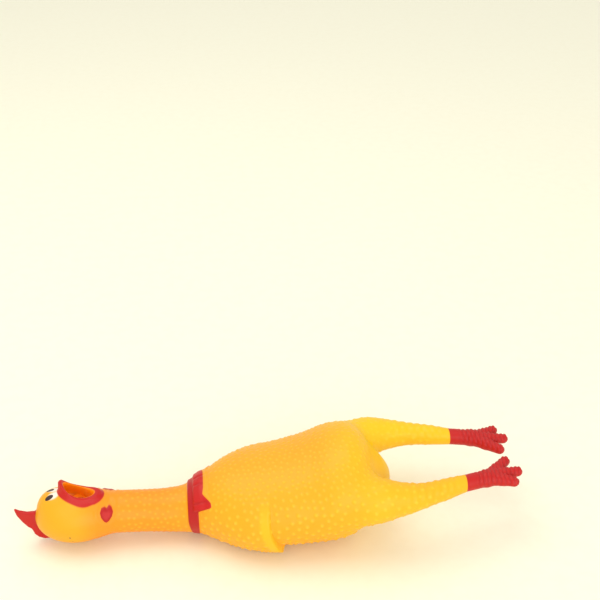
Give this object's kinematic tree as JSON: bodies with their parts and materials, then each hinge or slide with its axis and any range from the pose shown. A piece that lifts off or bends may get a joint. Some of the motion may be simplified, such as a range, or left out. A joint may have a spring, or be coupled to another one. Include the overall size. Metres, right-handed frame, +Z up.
{
  "type": "rubber chicken",
  "caption": "Hollow soft-vinyl squeaky chicken lying on its back, with an open beak and throat whistle, bending neck and legs, and a breast that squeezes in.",
  "frame": {"origin": "centre of the bounding box on the floor that the chicken's back rests on", "axes": "+X from head to feet, +Y towards the bird's left side, +Z up, out of its breast"},
  "size_m": [0.3, 0.0796, 0.0652],
  "materials": {
    "yellow_vinyl": "soft satin vinyl, moulded goose-pimple texture",
    "red_paint": "sprayed red vinyl paint, satin",
    "red_collar_paint": "brushed red vinyl paint, satin",
    "orange_paint": "orange vinyl paint inside the mouth",
    "eye_paint": "pale eye paint with a dark pupil",
    "whistle_plastic": "natural polyethylene",
    "reed_film": "thin translucent polyester film"
  },
  "bodies": {
    "torso": {"torso_shell": "yellow_vinyl", "left_wing": "yellow_vinyl", "right_wing": "yellow_vinyl", "tail": "yellow_vinyl", "collar_band": "red_collar_paint", "bow_knot": "red_collar_paint", "left_bow_loop": "red_collar_paint", "right_bow_loop": "red_collar_paint"},
    "breast": {"breast_panel": "yellow_vinyl"},
    "neck_lower": {"neck_lower": "yellow_vinyl"},
    "neck_upper": {"neck_upper": "yellow_vinyl"},
    "head": {"head_shell": "yellow_vinyl", "comb": "red_paint", "upper_beak": "red_paint", "lower_beak": "red_paint", "mouth_lining": "orange_paint", "left_wattle": "red_paint", "right_wattle": "red_paint", "left_eye": "eye_paint", "right_eye": "eye_paint", "whistle_housing": "whistle_plastic", "clip_ring": "whistle_plastic", "reed_bed": "whistle_plastic", "reed_wedge": "whistle_plastic"},
    "reed": {"reed": "reed_film"},
    "left_thigh": {"left_thigh": "yellow_vinyl"},
    "left_shank": {"left_shank": "yellow_vinyl"},
    "left_foot": {"left_foot": "red_paint"},
    "right_thigh": {"right_thigh": "yellow_vinyl"},
    "right_shank": {"right_shank": "yellow_vinyl"},
    "right_foot": {"right_foot": "red_paint"}
  },
  "joints": [
    {"name": "breast_squeeze", "type": "slide", "parent": "torso", "child": "breast", "axis": [0, 0, -1], "range_m": [0, 0.009], "stiffness_N_per_m": 250},
    {"name": "neck_lift", "type": "hinge", "parent": "torso", "child": "neck_lower", "pos_m": [-0.049, 0, 0.0185], "axis": [0, 1, 0], "range_deg": [-20, 25], "stiffness_Nm_per_rad": 0.35},
    {"name": "neck_bend", "type": "hinge", "parent": "neck_lower", "child": "neck_upper", "pos_m": [-0.067, 0, 0.0175], "axis": [0, 0, 1], "range_deg": [-25, 25], "stiffness_Nm_per_rad": 0.25},
    {"name": "head_nod", "type": "hinge", "parent": "neck_upper", "child": "head", "pos_m": [-0.085, 0, 0.017], "axis": [0, 1, 0], "range_deg": [-22, 20], "stiffness_Nm_per_rad": 0.25},
    {"name": "reed_flutter", "type": "hinge", "parent": "head", "child": "reed", "pos_m": [-0.11256, 0, 0.02061], "axis": [0, 1, 0], "range_deg": [0, 1.5], "stiffness_Nm_per_rad": 0.0002},
    {"name": "left_hip_swing", "type": "hinge", "parent": "torso", "child": "left_thigh", "pos_m": [0.066, 0.025, 0.037], "axis": [0, 1, 0], "range_deg": [-28, 28], "stiffness_Nm_per_rad": 0.3},
    {"name": "left_knee_splay", "type": "hinge", "parent": "left_thigh", "child": "left_shank", "pos_m": [0.088, 0.028, 0.039], "axis": [0, 0, 1], "range_deg": [-3, 25], "stiffness_Nm_per_rad": 0.12},
    {"name": "left_ankle_bend", "type": "hinge", "parent": "left_shank", "child": "left_foot", "pos_m": [0.117, 0.0215, 0.0405], "axis": [0, 1, 0], "range_deg": [-20, 20], "stiffness_Nm_per_rad": 0.04},
    {"name": "right_hip_swing", "type": "hinge", "parent": "torso", "child": "right_thigh", "pos_m": [0.066, -0.025, 0.037], "axis": [0, 1, 0], "range_deg": [-28, 28], "stiffness_Nm_per_rad": 0.3},
    {"name": "right_knee_splay", "type": "hinge", "parent": "right_thigh", "child": "right_shank", "pos_m": [0.088, -0.028, 0.039], "axis": [0, 0, -1], "range_deg": [-3, 25], "stiffness_Nm_per_rad": 0.12},
    {"name": "right_ankle_bend", "type": "hinge", "parent": "right_shank", "child": "right_foot", "pos_m": [0.117, -0.0215, 0.0405], "axis": [0, 1, 0], "range_deg": [-20, 20], "stiffness_Nm_per_rad": 0.04}
  ]
}
